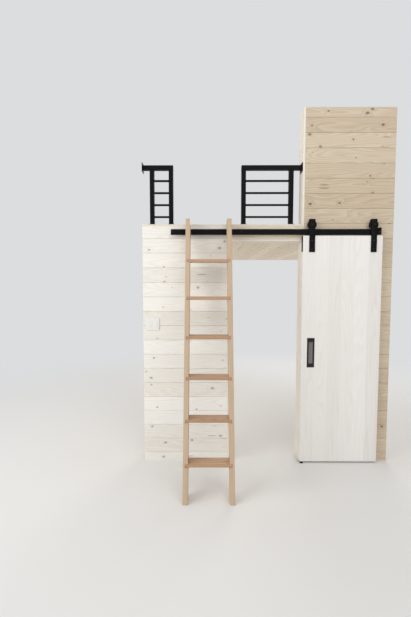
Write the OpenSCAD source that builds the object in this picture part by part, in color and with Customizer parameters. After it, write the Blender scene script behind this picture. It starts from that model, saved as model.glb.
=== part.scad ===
// Loft front of a tiny house: a board partition with a doorway, a sliding barn door on a
// flat-bar track, a sleeping loft's floor with two steel guards, and a leaning ladder.
// Millimetres. X runs right from the left side wall, Y runs away from the room, Z is up.
// The origin is the front bottom corner of the partition's left end.

/* [House] */
// Clear width between the two side walls
inner_w = 2230; // [2130:1:2700]
// Height of the loft floor above the house floor
loft_top = 2160; // [2130:1:2600]
// From the front of the partition to the back of the loft
loft_depth = 2280; // [1600:10:3000]
// Height of the ceiling at the tall part of the partition
ceiling_h = 3165; // [2800:5:3800]

/* [Partition] */
// Thickness of the partition over its boards
wall_t = 125; // [100:1:160]
// From the left side wall to the doorway
doorway_x = 780; // [740:1:890]
// Clear width of the doorway
doorway_w = 640; // [530:1:690]
// Clear height of the doorway
doorway_h = 2010; // [1670:1:2030]
// Thickness of the linings in the doorway and on the tall wall's end
lining_t = 18; // [12:1:30]

/* [Loft floor] */
// Thickness of the floor boards
deck_t = 18; // [12:1:30]
// Depth of the strip that covers the front ends of the floor boards
nosing_d = 20; // [12:1:40]
// Thickness of the soffit boards
soffit_t = 12; // [8:1:20]
// Height of the joists and ledgers
joist_h = 120; // [90:1:160]
// Thickness of the joists and ledgers
joist_t = 38; // [30:1:50]
// Distance from joist to joist
joist_pitch = 400; // [300:10:500]
// Radius of the bolt holes in the ledgers
ledger_hole_r = 6; // [4:0.5:8]

/* [Door] */
// How far the door rises past the doorway's head
door_rise = 43; // [20:1:50]
// Thickness of the door
door_t = 35; // [28:1:45]
// Gap under the door
door_floor_gap = 12; // [8:1:20]
// Gap between the door and the partition
door_wall_gap = 12; // [8:1:20]
// How far the closed door laps over the left side of the doorway
door_lap = 24; // [10:1:30]
// How far the closed door laps over the right side of the doorway
door_lap_right = 36; // [10:1:50]

/* [Door pull] */
// Width of the pull's rim
pull_w = 66; // [50:1:90]
// Height of the pull's rim
pull_h = 265; // [160:1:320]
// Depth of the pull's tray
pull_depth = 15; // [10:1:20]
// Height of the pull's middle above the floor
pull_z = 1016; // [850:1:1200]
// From the door's left edge to the pull's middle
pull_inset = 85; // [60:1:120]

/* [Track] */
// Height of the flat bar
rail_h = 50; // [40:1:60]
// Thickness of the flat bar
rail_t = 6; // [5:1:10]
// Gap between the top of the door and the bar
rail_door_gap = 8; // [5:1:15]
// From the partition to the back of the bar
rail_standoff = 32; // [28:1:50]
// From the left side wall to the bar's left end
rail_x = 257; // [100:1:330]

/* [Hangers] */
// Width of a strap
strap_w = 50; // [40:1:60]
// Thickness of a strap
strap_t = 6; // [4:1:8]
// From the door's side edge to the middle of a strap
strap_inset = 80; // [60:1:120]
// How far a strap reaches down over the front of the door
strap_lap = 144; // [100:1:220]
// Radius of a hanger wheel over its flanges
wheel_r = 40; // [34:1:50]
// Width of a hanger wheel
wheel_w = 18; // [16:1:24]
// Radius of the axles
axle_r = 5; // [4:0.5:7]

/* [Ladder] */
// Width of the ladder over its stiles
ladder_w = 390; // [320:1:440]
// Gap between the ladder and the closed door's left wheel
ladder_gap = 11; // [6:1:60]
// Thickness of a stile
stile_t = 38; // [30:1:45]
// Depth of a stile, square to its length
stile_d = 114; // [80:1:130]
// From the partition to the back of the ladder's feet
ladder_reach = 561; // [430:1:700]
// Height of the first tread's top
tread_first = 276; // [240:1:330]
// Depth of a tread
tread_d = 110; // [70:1:120]
// Thickness of a tread
tread_t = 25; // [16:1:30]
// How far a tread is housed into each stile
tread_housing = 22; // [10:1:26]

/* [Guards] */
// Height of the guards above the loft floor
guard_h = 520; // [400:5:900]
// Side of the square tube
tube = 40; // [30:1:50]
// Side of the square bars
bar = 16; // [8:1:20]
// Number of bars in a guard
bar_n = 4; // [2:1:6]
// From the deck's front edge to the guards
guard_setback = 20; // [12:1:60]
// Gap between the left guard and the ladder
access_left = 120; // [80:1:150]
// Gap between the ladder and the right guard
access_right = 97; // [80:1:200]

/* [Socket plate] */
// Width and height of the double socket plate
plate_w = 114; // [70:1:120]
// Height of the plate's middle above the floor
plate_z = 1267; // [900:1:1400]

/* [Hidden] */

// Small distance that lets a cut run clear of the surface it opens
cut = 1;
// Running gap between a wheel's tread and the bar it rolls on
roll_gap = 0.3;
// Gap between a resting piece and what carries it
seat_gap = 0.3;

// Partition levels and places
wall_top = loft_top - deck_t;
doorway_x1 = doorway_x + doorway_w;
jamb_x0 = doorway_x - lining_t;
jamb_x1 = doorway_x1 + lining_t;
head_top = doorway_h + lining_t;

// Loft floor levels
joist_z = wall_top - joist_h;
soffit_z = joist_z - soffit_t;
joist_x0 = joist_t;
joist_x1 = inner_w - joist_t;
joist_y0 = wall_t;
joist_y1 = loft_depth - joist_t;
joist_n = floor((joist_y1 - joist_y0 - joist_t) / joist_pitch) + 1;
// Ledger bolts stand in the middle of the first and the last whole space between joists
ledger_bolt_y0 = joist_y0 + joist_pitch / 2 + joist_t / 2;
ledger_bolt_y1 = ledger_bolt_y0 + (joist_n - 2) * joist_pitch;
ledger_bolt_rise = joist_h / 4;
ledger_rows = [joist_z + ledger_bolt_rise, wall_top - ledger_bolt_rise];
ledger_bolt_x = [inner_w / 4, inner_w * 3 / 4];

// Door at rest, which is open: its left edge is just inside the doorway
door_rest_lap = 2;
door_w = doorway_w + door_lap + door_lap_right;
door_x = doorway_x1 - door_rest_lap;
door_shut_x = doorway_x - door_lap;
door_x1 = door_x + door_w;
door_back = -door_wall_gap;
door_front = door_back - door_t;
door_z = door_floor_gap;
door_top = doorway_h + door_rise;

// Track, above the door
rail_z = door_top + rail_door_gap;
rail_top = rail_z + rail_h;
rail_back = -rail_standoff;
rail_front = rail_back - rail_t;
rail_mid = (rail_back + rail_front) / 2;
spacer_r = 11;
spacer_n = 4;
spacer_inset = 20;

// Wheels
flange_lap = 3;
groove_side_gap = 1;
tread_r = wheel_r - flange_lap;
wheel_z = rail_top + tread_r;
hanger_x = [door_x + strap_inset, door_x1 - strap_inset];
bore_gap = 0.05;

// End stop: its corner stays this far from the wheel beside it
stop_clear = 5;
stop_lip = 6;
stop_hook = 10;
stop_rise = 12;
stop_reach = sqrt(wheel_r * wheel_r - (tread_r - stop_rise) * (tread_r - stop_rise));
stop_x = hanger_x[1] + stop_reach + stop_clear;
stop_w = 31;
rail_x1 = stop_x + stop_w;

// Straps: each runs up the door's front, over the wheel and a little way down behind it
strap_y0 = door_front - strap_t;
strap_side_gap = rail_mid - wheel_w / 2 - door_front;
strap_hook_y = rail_mid + wheel_w / 2 + strap_side_gap;
strap_over_wheel = 4;
strap_top = wheel_z + wheel_r + strap_over_wheel + strap_t;
strap_low = door_top - strap_lap;
strap_hook_h = 24;
strap_hook_low = wheel_z - strap_hook_h;
strap_corner = 8;

// Ladder: it stands left of the closed door's wheel. Its back leans on the top front edge
// of the track's bar, or on the loft's edge where that would stop it sooner.
tread_n = 6;
ladder_x1 = door_shut_x + strap_inset - wheel_r - ladder_gap;
ladder_x = ladder_x1 - ladder_w;
lean_on_rail = (ladder_reach + rail_front - seat_gap) / rail_top;
lean_on_loft = (ladder_reach - seat_gap) / loft_top;
lean_slope = min(lean_on_rail, lean_on_loft);
lean = atan(lean_slope);
stile_rise = 25;
stile_top = loft_top + stile_rise;
// The last step, onto the loft floor, is a little higher than the others
last_step = 1.04;
tread_pitch = (loft_top - tread_first) / (tread_n - 1 + last_step);
inner_stile_x0 = ladder_x + stile_t;
inner_stile_x1 = ladder_x1 - stile_t;
function ladder_back(z) = -ladder_reach + z * lean_slope;
function ladder_front(z) = ladder_back(z) - stile_d / cos(lean);
function tread_z(i) = tread_first + i * tread_pitch;

// Guards
guard_top = loft_top + guard_h;
guard_y0 = guard_setback;
guard_y1 = guard_setback + tube;
guard_mid = (guard_y0 + guard_y1) / 2;
flange_t = 6;
flange_w = 76;
flange_h = 76;
flange_hole_r = 4.5;
flange_hole_y = 54;
flange_hole_z = 54;
foot_t = 5;
foot_lip = 10;
post_gap_left = 60;
post_gap_right = 75;
left_guard_x1 = ladder_x - access_left;
right_guard_x0 = ladder_x1 + access_right;
left_post_x = [flange_t + post_gap_left, left_guard_x1 - tube];
right_post_x = [right_guard_x0, doorway_x1 - post_gap_right - tube];
bar_first = 70;
// The space over the top bar is a little narrower than the others
top_space = 0.88;
bar_pitch = (guard_h - tube - bar_first) / (bar_n - 1 + top_space);

// Door pull
pull_rim_t = 3;
pull_side = 14;
pull_end = 34;
pull_wall = 2;
pull_x = door_x + pull_inset;
pocket_gap = 0.5;

// Floor guide
guide_w = 28;
guide_base_t = 4;
guide_upstand_t = 3;
guide_upstand_h = 40;
tongue_t = 5;
groove_t = 9;
groove_h = 18;
tongue_top_gap = 4;
tongue_top = door_z + groove_h - tongue_top_gap;
guide_x = (door_x + door_shut_x + door_w) / 2;
guide_mid = (door_back + door_front) / 2;
guide_toe = 27;
guide_front = guide_mid - guide_toe;
guide_hole_r = 2.5;
guide_hole_off = 18;
guide_hole_y = [guide_mid - guide_hole_off, guide_mid + guide_hole_off];

// Edge plate and socket plate
edge_plate_t = 3;
edge_plate_h = 140;
plate_t = 6;
plate_x = 87;

pine = [0.86, 0.80, 0.69];
pale_pine = [0.90, 0.87, 0.80];
fir = [0.83, 0.69, 0.52];
tread_fir = [0.72, 0.52, 0.36];
black = [0.06, 0.06, 0.07];
door_white = [0.88, 0.87, 0.83];

// A block between two corners
module block(x0, x1, y0, y1, z0, z1) {
  translate([x0, y0, z0]) cube([x1 - x0, y1 - y0, z1 - z0]);
}

// A cylinder along Y between two places
module round_y(x, z, r, y0, y1) {
  translate([x, y1, z]) rotate([90, 0, 0]) cylinder(r = r, h = y1 - y0, $fn = 48);
}

// A cylinder along X between two places
module round_x(y, z, r, x0, x1) {
  translate([x0, y, z]) rotate([0, 90, 0]) cylinder(r = r, h = x1 - x0, $fn = 48);
}

// A side view, drawn as (Y, Z), made solid along X
module side_extrude(x0, x1) {
  translate([x0, 0, 0]) rotate([90, 0, 90]) linear_extrude(x1 - x0) children();
}

// A front view, drawn as (X, Z), made solid along Y
module front_extrude(y0, y1) {
  translate([0, y1, 0]) rotate([90, 0, 0]) linear_extrude(y1 - y0) children();
}

module wall_left() {
  color(pine) block(0, jamb_x0, 0, wall_t, 0, wall_top);
}

module wall_right() {
  color(pine) block(jamb_x1, inner_w, 0, wall_t, 0, ceiling_h);
}

module doorway_header() {
  color(pine) block(jamb_x0, jamb_x1, 0, wall_t, head_top, wall_top);
}

module jamb_left() {
  color(pale_pine) block(jamb_x0, doorway_x, 0, wall_t, 0, doorway_h);
}

module jamb_right() {
  color(pale_pine) block(doorway_x1, jamb_x1, 0, wall_t, 0, doorway_h);
}

module head_lining() {
  color(pale_pine) block(jamb_x0, jamb_x1, 0, wall_t, doorway_h, head_top);
}

module wall_end_trim() {
  color(pale_pine) block(doorway_x1, jamb_x1, 0, wall_t, wall_top, ceiling_h);
}

module loft_nosing() {
  color(pale_pine) block(0, doorway_x1, 0, nosing_d, wall_top, loft_top);
}

module loft_deck() {
  color(pine) union() {
    block(0, doorway_x1, nosing_d, wall_t, wall_top, loft_top);
    block(0, inner_w, wall_t, loft_depth, wall_top, loft_top);
  }
}

module loft_joists() {
  color(fir) for (i = [0 : joist_n - 1]) {
    y = joist_y0 + i * joist_pitch;
    block(joist_x0, joist_x1, y, y + joist_t, joist_z, wall_top);
  }
}

module side_ledger(x0, x1) {
  difference() {
    block(x0, x1, joist_y0, loft_depth, joist_z, wall_top);
    for (y = [ledger_bolt_y0, ledger_bolt_y1], z = ledger_rows)
      round_x(y, z, ledger_hole_r, x0 - cut, x1 + cut);
  }
}

module ledger_left() {
  color(fir) side_ledger(0, joist_t);
}

module ledger_right() {
  color(fir) side_ledger(inner_w - joist_t, inner_w);
}

module ledger_rear() {
  color(fir) difference() {
    block(joist_x0, joist_x1, joist_y1, loft_depth, joist_z, wall_top);
    for (x = ledger_bolt_x, z = ledger_rows)
      round_y(x, z, ledger_hole_r, joist_y1 - cut, loft_depth + cut);
  }
}

module soffit() {
  color(pine) block(0, inner_w, wall_t, loft_depth, soffit_z, joist_z);
}

// A guard post: a square tube on a foot plate, capped by the top rail
module guard_post(x) {
  color(black) union() {
    block(x, x + tube, guard_y0, guard_y1, loft_top, guard_top - tube);
    block(x - foot_lip, x + tube + foot_lip, guard_y0 - foot_lip, guard_y1 + foot_lip,
      loft_top, loft_top + foot_t);
  }
}

module guard_rail(x0, x1) {
  color(black) block(x0, x1, guard_y0, guard_y1, guard_top - tube, guard_top);
}

module guard_bars(x0, x1) {
  color(black) for (i = [0 : bar_n - 1]) {
    z = loft_top + bar_first + i * bar_pitch;
    block(x0, x1, guard_mid - bar / 2, guard_mid + bar / 2, z - bar / 2, z + bar / 2);
  }
}

module guard_flange(x0) {
  z = guard_top - tube / 2;
  color(black) difference() {
    block(x0, x0 + flange_t, guard_mid - flange_w / 2, guard_mid + flange_w / 2,
      z - flange_h / 2, z + flange_h / 2);
    for (dy = [-flange_hole_y / 2, flange_hole_y / 2])
      for (dz = [-flange_hole_z / 2, flange_hole_z / 2])
        round_x(guard_mid + dy, z + dz, flange_hole_r, x0 - cut, x0 + flange_t + cut);
  }
}

module left_guard_wall_post() { guard_post(left_post_x[0]); }
module left_guard_gap_post() { guard_post(left_post_x[1]); }
module left_guard_top_rail() { guard_rail(flange_t, left_guard_x1); }
module left_guard_bars() { guard_bars(left_post_x[0] + tube, left_post_x[1]); }
module left_guard_flange() { guard_flange(0); }
module right_guard_gap_post() { guard_post(right_post_x[0]); }
module right_guard_wall_post() { guard_post(right_post_x[1]); }
module right_guard_top_rail() { guard_rail(right_guard_x0, doorway_x1 - flange_t); }
module right_guard_bars() { guard_bars(right_post_x[0] + tube, right_post_x[1]); }
module right_guard_flange() { guard_flange(doorway_x1 - flange_t); }

// Side view of the ladder between two heights, cut level at both
module ladder_side(z0, z1) {
  polygon([[ladder_back(z0), z0], [ladder_front(z0), z0], [ladder_front(z1), z1],
    [ladder_back(z1), z1]]);
}

// A flat tread between the stiles, level and in the middle of their depth
module tread(i) {
  z = tread_z(i);
  mid = (ladder_back(z - tread_t / 2) + ladder_front(z - tread_t / 2)) / 2;
  color(tread_fir)
    block(inner_stile_x0 - tread_housing, inner_stile_x1 + tread_housing,
      mid - tread_d / 2, mid + tread_d / 2, z - tread_t, z);
}

// A stile from x0 to x1, with a housing right across its inner face for each tread
module stile(x0, x1) {
  color(fir) difference() {
    side_extrude(x0, x1) ladder_side(0, stile_top);
    for (i = [0 : tread_n - 1])
      block(inner_stile_x0 - tread_housing, inner_stile_x1 + tread_housing,
        ladder_front(0), ladder_back(stile_top), tread_z(i) - tread_t, tread_z(i));
  }
}

module ladder_stile_left() { stile(ladder_x, inner_stile_x0); }
module ladder_stile_right() { stile(inner_stile_x1, ladder_x1); }
module ladder_tread_1() { tread(0); }
module ladder_tread_2() { tread(1); }
module ladder_tread_3() { tread(2); }
module ladder_tread_4() { tread(3); }
module ladder_tread_5() { tread(4); }
module ladder_tread_6() { tread(5); }

module track_rail() {
  color(black) block(rail_x, rail_x1, rail_front, rail_back, rail_z, rail_top);
}

module track_spacers() {
  pitch = (rail_x1 - rail_x - 2 * spacer_inset) / (spacer_n - 1);
  color(black) for (i = [0 : spacer_n - 1])
    round_y(rail_x + spacer_inset + i * pitch, rail_z + rail_h / 2, spacer_r, rail_back, 0);
}

module track_stop() {
  color(black) difference() {
    block(stop_x, rail_x1, rail_front - stop_lip, rail_back + stop_lip,
      rail_z, rail_top + stop_rise);
    block(stop_x - cut, rail_x1 + cut, rail_front, rail_back, rail_z - cut, rail_top);
    block(stop_x - cut, rail_x1 + cut, rail_back - cut, rail_back + stop_lip + cut,
      rail_z - cut, rail_top - stop_hook);
  }
}

module door_panel() {
  color(door_white) difference() {
    block(door_x, door_x1, door_front, door_back, door_z, door_top);
    pull_tray(pocket_gap, door_front - cut);
    block(door_x - cut, door_x1 + cut, guide_mid - groove_t / 2,
      guide_mid + groove_t / 2, door_z - cut, door_z + groove_h);
  }
}

// The pull's tray as a solid, grown by a gap, from a given front plane
module pull_tray(gap, y0) {
  block(pull_x - pull_w / 2 + pull_side - pull_wall - gap,
    pull_x + pull_w / 2 - pull_side + pull_wall + gap,
    y0, door_front + pull_depth + gap,
    pull_z - pull_h / 2 + pull_end - pull_wall - gap,
    pull_z + pull_h / 2 - pull_end + pull_wall + gap);
}

module door_pull() {
  color([0.16, 0.16, 0.17]) difference() {
    union() {
      block(pull_x - pull_w / 2, pull_x + pull_w / 2, door_front - pull_rim_t, door_front,
        pull_z - pull_h / 2, pull_z + pull_h / 2);
      pull_tray(0, door_front - pull_rim_t);
    }
    block(pull_x - pull_w / 2 + pull_side, pull_x + pull_w / 2 - pull_side,
      door_front - pull_rim_t - cut, door_front + pull_depth - pull_wall,
      pull_z - pull_h / 2 + pull_end, pull_z + pull_h / 2 - pull_end);
  }
}

module door_edge_plate() {
  color(black) block(door_x - edge_plate_t, door_x, door_front, door_back,
    door_top - edge_plate_h, door_top);
}

// A strap bent over its wheel, with the corners of the bend cut off
module strap(x) {
  hole_gap = 0.2;
  w = strap_w / 2;
  color(black) difference() {
    intersection() {
      union() {
        block(x - w, x + w, strap_y0, door_front, strap_low, strap_top);
        block(x - w, x + w, strap_y0, strap_hook_y + strap_t, strap_top - strap_t, strap_top);
        block(x - w, x + w, strap_hook_y, strap_hook_y + strap_t, strap_hook_low, strap_top);
      }
      front_extrude(strap_y0 - cut, strap_hook_y + strap_t + cut)
        polygon([[x - w, strap_low], [x + w, strap_low], [x + w, strap_top - strap_corner],
          [x + w - strap_corner / 2, strap_top], [x - w + strap_corner / 2, strap_top],
          [x - w, strap_top - strap_corner]]);
    }
    round_y(x, wheel_z, axle_r + hole_gap, strap_y0 - cut, strap_hook_y + strap_t + cut);
  }
}

module hanger_strap_left() { strap(hanger_x[0]); }
module hanger_strap_right() { strap(hanger_x[1]); }

// Each axle is a bolt through both legs of a strap and the wheel between them
module hanger_axles() {
  head_r = 9;
  head_t = 6;
  nut_r = 8.5;
  nut_t = 5;
  nut_y = strap_hook_y + strap_t;
  color([0.10, 0.10, 0.11]) for (x = hanger_x) union() {
    round_y(x, wheel_z, head_r, strap_y0 - head_t, strap_y0);
    round_y(x, wheel_z, axle_r, strap_y0 - head_t / 2, nut_y + nut_t);
    round_y(x, wheel_z, nut_r, nut_y, nut_y + nut_t);
  }
}

// A grooved wheel turned about the axle
module wheel(x) {
  groove = rail_t / 2 + groove_side_gap;
  half = wheel_w / 2;
  rim = 1;
  color([0.09, 0.09, 0.10]) translate([x, rail_mid, wheel_z]) rotate([90, 0, 0])
    rotate_extrude($fn = 96)
      polygon([[axle_r + bore_gap, -half], [wheel_r - rim, -half], [wheel_r, rim - half],
        [wheel_r, -groove], [tread_r - roll_gap, -groove], [tread_r - roll_gap, groove],
        [wheel_r, groove], [wheel_r, half - rim], [wheel_r - rim, half],
        [axle_r + bore_gap, half]]);
}

module wheel_left() { wheel(hanger_x[0]); }
module wheel_right() { wheel(hanger_x[1]); }

// An angle screwed to the floor at the doorway's side; its tongue runs in the door's groove
module floor_guide() {
  x0 = guide_x - guide_w / 2;
  x1 = guide_x + guide_w / 2;
  color(black) difference() {
    union() {
      block(x0, x1, guide_front, 0, 0, guide_base_t);
      block(x0, x1, -guide_upstand_t, 0, 0, guide_upstand_h);
      block(x0, x1, guide_mid - tongue_t / 2, guide_mid + tongue_t / 2, 0, tongue_top);
    }
    for (y = guide_hole_y)
      translate([guide_x, y, -cut])
        cylinder(r = guide_hole_r, h = guide_base_t + 2 * cut, $fn = 32);
  }
}

module socket_plate() {
  color([0.94, 0.94, 0.93]) block(plate_x - plate_w / 2, plate_x + plate_w / 2,
    -plate_t, 0, plate_z - plate_w / 2, plate_z + plate_w / 2);
}

wall_left();
wall_right();
doorway_header();
jamb_left();
jamb_right();
head_lining();
wall_end_trim();
loft_nosing();
loft_deck();
loft_joists();
ledger_left();
ledger_right();
ledger_rear();
soffit();
left_guard_wall_post();
left_guard_gap_post();
left_guard_top_rail();
left_guard_bars();
left_guard_flange();
right_guard_gap_post();
right_guard_wall_post();
right_guard_top_rail();
right_guard_bars();
right_guard_flange();
ladder_stile_left();
ladder_stile_right();
ladder_tread_1();
ladder_tread_2();
ladder_tread_3();
ladder_tread_4();
ladder_tread_5();
ladder_tread_6();
track_rail();
track_spacers();
track_stop();
door_panel();
door_pull();
door_edge_plate();
hanger_strap_left();
hanger_strap_right();
hanger_axles();
wheel_left();
wheel_right();
floor_guide();
socket_plate();
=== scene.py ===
# %% [markdown]
# # The loft front of a tiny house
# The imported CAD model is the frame: it fixes every size and place, in metres. X runs right
# along the partition, Y runs away from the room and Z is up. This script gives that frame its
# looks: boards with their joints, knots and grain, eased timber, coated steel and hardware.

# %% Load the frame
import math
import random

import bmesh
import bpy
from mathutils import Matrix, Vector


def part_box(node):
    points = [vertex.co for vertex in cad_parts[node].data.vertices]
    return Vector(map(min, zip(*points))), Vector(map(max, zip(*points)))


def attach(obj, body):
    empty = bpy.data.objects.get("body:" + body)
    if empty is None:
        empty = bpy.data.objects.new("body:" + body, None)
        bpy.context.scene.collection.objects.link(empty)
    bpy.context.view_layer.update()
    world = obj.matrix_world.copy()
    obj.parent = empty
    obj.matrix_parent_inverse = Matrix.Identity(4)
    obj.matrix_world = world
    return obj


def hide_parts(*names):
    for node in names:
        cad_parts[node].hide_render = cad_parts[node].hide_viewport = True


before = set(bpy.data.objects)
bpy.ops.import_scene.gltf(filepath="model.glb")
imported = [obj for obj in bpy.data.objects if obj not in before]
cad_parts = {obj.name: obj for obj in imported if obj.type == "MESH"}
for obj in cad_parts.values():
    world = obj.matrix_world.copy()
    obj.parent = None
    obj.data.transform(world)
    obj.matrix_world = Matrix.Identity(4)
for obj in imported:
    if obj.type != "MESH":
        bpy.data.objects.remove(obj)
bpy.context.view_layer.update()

scene = bpy.context.scene
HOUSE, DOOR = "loft_front", "door"
SIDES = ("left", "right")


# %% [markdown]
# ## Camera, light and floor
# The photograph is a one-point view into the room: the camera stands 3.17 m in front of the
# partition, 1.61 m up, and looks down by a few degrees. A lens of 20.5 mm on a 36 mm frame gives
# the same angle. The light is plain and soft: a bright world, a wide panel at the left where a
# room like this has its window, and weaker ones in front and behind, so no side falls dark.

# %% Camera
PHOTO_HEIGHT, FOCAL_PIXELS, FILM = 617, 352, 36
CAMERA_PLACE = (0.576, -3.17, 1.612)
DOWN, TURNED = 3.66, 0.244       # degrees
camera_data = bpy.data.cameras.new("camera")
camera_data.sensor_width = FILM
camera_data.lens = FILM * FOCAL_PIXELS / PHOTO_HEIGHT
camera = bpy.data.objects.new("camera", camera_data)
camera.location = CAMERA_PLACE
camera.rotation_euler = (math.radians(90 - DOWN), 0, math.radians(TURNED))
scene.collection.objects.link(camera)
scene.camera = camera
scene.view_settings.view_transform = "Standard"
print("lens", round(camera_data.lens, 2), "mm")


# %% Node helpers: they add a node, set its inputs and link what comes from other nodes
def feed(socket, value):
    """Links a socket, or sets the value of an input."""
    if isinstance(value, bpy.types.NodeSocket):
        socket.id_data.links.new(value, socket)
    elif value is not None:
        socket.default_value = value


def node_beside(values, kind):
    """A new node in the tree that the first socket among the values belongs to."""
    tree = next(v.id_data for v in values if isinstance(v, bpy.types.NodeSocket))
    return tree.nodes.new(kind)


def put(kind, tree=None, **values):
    """A new node. Names in small letters are its settings, the others its inputs, where an
    underscore stands for a space. Without a tree it goes beside the nodes that feed it."""
    node = tree.nodes.new(kind) if tree else node_beside(values.values(), kind)
    for name in filter(str.islower, values):
        setattr(node, name, values[name])
    for name in values:
        if not name.islower():
            label = name.replace("_", " ")
            feed(next(s for s in node.inputs if s.name == label and s.enabled), values[name])
    return node


def take(kind, tree=None, **values):
    """The first output in use of a new node."""
    return next(s for s in put(kind, tree, **values).outputs if s.enabled)


def sums(operation, *values, kind="ShaderNodeMath", out=0):
    """The result of a Math node."""
    node = node_beside(values, kind)
    node.operation = operation
    for socket, value in zip(node.inputs, values):
        feed(socket, value)
    return node.outputs[out]


def maths(operation):
    """A function for one operation of the Math node."""
    return lambda *values: sums(operation, *values)


plus, minus, times, over, times_plus, larger, smaller = (maths(operation) for operation in (
    "ADD", "SUBTRACT", "MULTIPLY", "DIVIDE", "MULTIPLY_ADD", "MAXIMUM", "MINIMUM"))


def vectors(operation, *values, out=0):
    """The result of a Vector Math node."""
    return sums(operation, *values, kind="ShaderNodeVectorMath", out=out)


def xyz(x=None, y=None, z=None):
    """A vector from its three parts."""
    return take("ShaderNodeCombineXYZ", X=x, Y=y, Z=z)


def ramp(value, low, high, to_low=0.0, to_high=1.0, smooth=True):
    """Maps a value from one range to another, clamped."""
    return take("ShaderNodeMapRange", interpolation_type="SMOOTHSTEP" if smooth else "LINEAR",
                Value=value, From_Min=low, From_Max=high, To_Min=to_low, To_Max=to_high)


def blend_colour(factor, first, second, mode="MIX"):
    """Mixes two colours."""
    node = node_beside((factor, first, second), "ShaderNodeMix")
    node.data_type = "RGBA"
    node.blend_type = mode
    feed(node.inputs[0], factor)
    feed(node.inputs[6], first)
    feed(node.inputs[7], second)
    return node.outputs[2]


def blend_shader(factor, first, second):
    """Mixes two shaders."""
    node = put("ShaderNodeMixShader", Fac=factor)
    feed(node.inputs[1], first)
    feed(node.inputs[2], second)
    return node.outputs[0]


def paint(red, green, blue):
    """A colour written as on a screen, 0 to 255, in the linear light that shaders use."""
    def straight(level):
        level /= 255
        return level / 12.92 if level <= 0.04045 else ((level + 0.055) / 1.055) ** 2.4
    return (straight(red), straight(green), straight(blue), 1.0)


# %% World: an even pale light, seen as a pale background by the camera and by reflections
PALE = 0.73
BACKDROP = (0.98, 0.988, 1.0, 1.0)
WORLD_LIGHT = 0.69
world = bpy.data.worlds.new("studio")
scene.world = world
world.use_nodes = True
sky = world.node_tree
sky.nodes.clear()
ray = put("ShaderNodeLightPath", sky).outputs
seen = larger(ray["Is Camera Ray"], larger(ray["Is Glossy Ray"], ray["Is Transmission Ray"]))
lit = take("ShaderNodeBackground", sky, Color=(1, 1, 1, 1), Strength=WORLD_LIGHT)
plain = take("ShaderNodeBackground", sky, Color=BACKDROP, Strength=PALE)
put("ShaderNodeOutputWorld", Surface=blend_shader(seen, lit, plain))

# %% Lamps: large panels that aren't seen themselves, with place, aim, width, height and watts
PANELS = {
    "window_panel": ((-4.2, -3.0, 3.0), (0.8, 0.0, 1.2), 4.0, 3.2, 149, (1.0, 0.998, 0.99)),
    "front_panel": ((2.4, -4.4, 5.2), (1.1, 0.2, 1.4), 3.4, 3.0, 66, (1.0, 0.988, 0.97)),
    "rear_panel": ((3.4, 6.6, 3.6), (1.1, 1.0, 1.6), 3.4, 2.6, 130, (1.0, 0.99, 0.98))}
for name, (place, aim, width, height, watts, tint) in PANELS.items():
    panel = bpy.data.lights.new(name, "AREA")
    panel.shape = "RECTANGLE"
    panel.size, panel.size_y = width, height
    panel.energy = watts
    panel.color = tint
    lamp = bpy.data.objects.new(name, panel)
    lamp.location = place
    lamp.rotation_euler = (Vector(aim) - Vector(place)).to_track_quat("-Z", "Y").to_euler()
    lamp.visible_camera = False
    scene.collection.objects.link(lamp)

# %% Floor: it takes the shadows near the object and fades into the background further out
REACH = 30
FLOOR_MIDDLE = (1.1, 0.6, 0.0)
FADE_FROM, FADE_TO = 1.7, 5.2
floor_mesh = bpy.data.meshes.new("floor")
floor_mesh.from_pydata([(-REACH, -REACH, 0), (REACH, -REACH, 0), (REACH, REACH, 0),
                        (-REACH, REACH, 0)], [], [(0, 1, 2, 3)])
floor = bpy.data.objects.new("floor", floor_mesh)
scene.collection.objects.link(floor)
floor_finish = bpy.data.materials.new("pale_floor")
floor_finish.use_nodes = True
ground = floor_finish.node_tree
floor_shader = ground.nodes["Principled BSDF"]
floor_shader.inputs["Base Color"].default_value = paint(226, 225, 223)
floor_shader.inputs["Roughness"].default_value = 0.85
floor_shader.inputs["Specular IOR Level"].default_value = 0.1
place = put("ShaderNodeTexCoord", ground).outputs["Object"]
far = ramp(vectors("DISTANCE", place, FLOOR_MIDDLE, out=1), FADE_FROM, FADE_TO)
far = times(far, put("ShaderNodeLightPath", ground).outputs["Is Camera Ray"])
beyond = take("ShaderNodeEmission", ground, Color=BACKDROP, Strength=PALE)
feed(ground.nodes["Material Output"].inputs["Surface"],
     blend_shader(far, floor_shader.outputs[0], beyond))
floor_mesh.materials.append(floor_finish)


# %% [markdown]
# ## Shared effects
# Wood, rubbed edges and coated steel come up on many pieces, so each effect is a shader node
# group that is built once. Wood pieces carry their own coordinates in an attribute called
# grain: X runs along the board, Z across its face and Y through it, with a random shift, so no
# two boards show the same figure. The attribute edge is 1 on the narrow eased faces.

# %% Helpers for groups: sockets hold a plain number unless they are listed here
KINDS = {"Grain": "Vector", "Position": "Vector", "Seed": "Int", "Geometry": "Geometry",
         "Head": "Object", "Material": "Material"}


def new_group(name, inputs, outputs, kind="ShaderNodeTree"):
    """A node group with named inputs and their usual values, and named outputs."""
    group = bpy.data.node_groups.new(name, kind)
    for way, labels in (("INPUT", inputs), ("OUTPUT", outputs)):
        for label in labels:
            socket = group.interface.new_socket(
                label, in_out=way, socket_type="NodeSocket" + KINDS.get(label, "Float"))
            if way == "INPUT" and inputs[label] is not None:
                socket.default_value = inputs[label]
    nodes = group.nodes
    return group, nodes.new("NodeGroupInput").outputs, nodes.new("NodeGroupOutput").inputs


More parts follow.
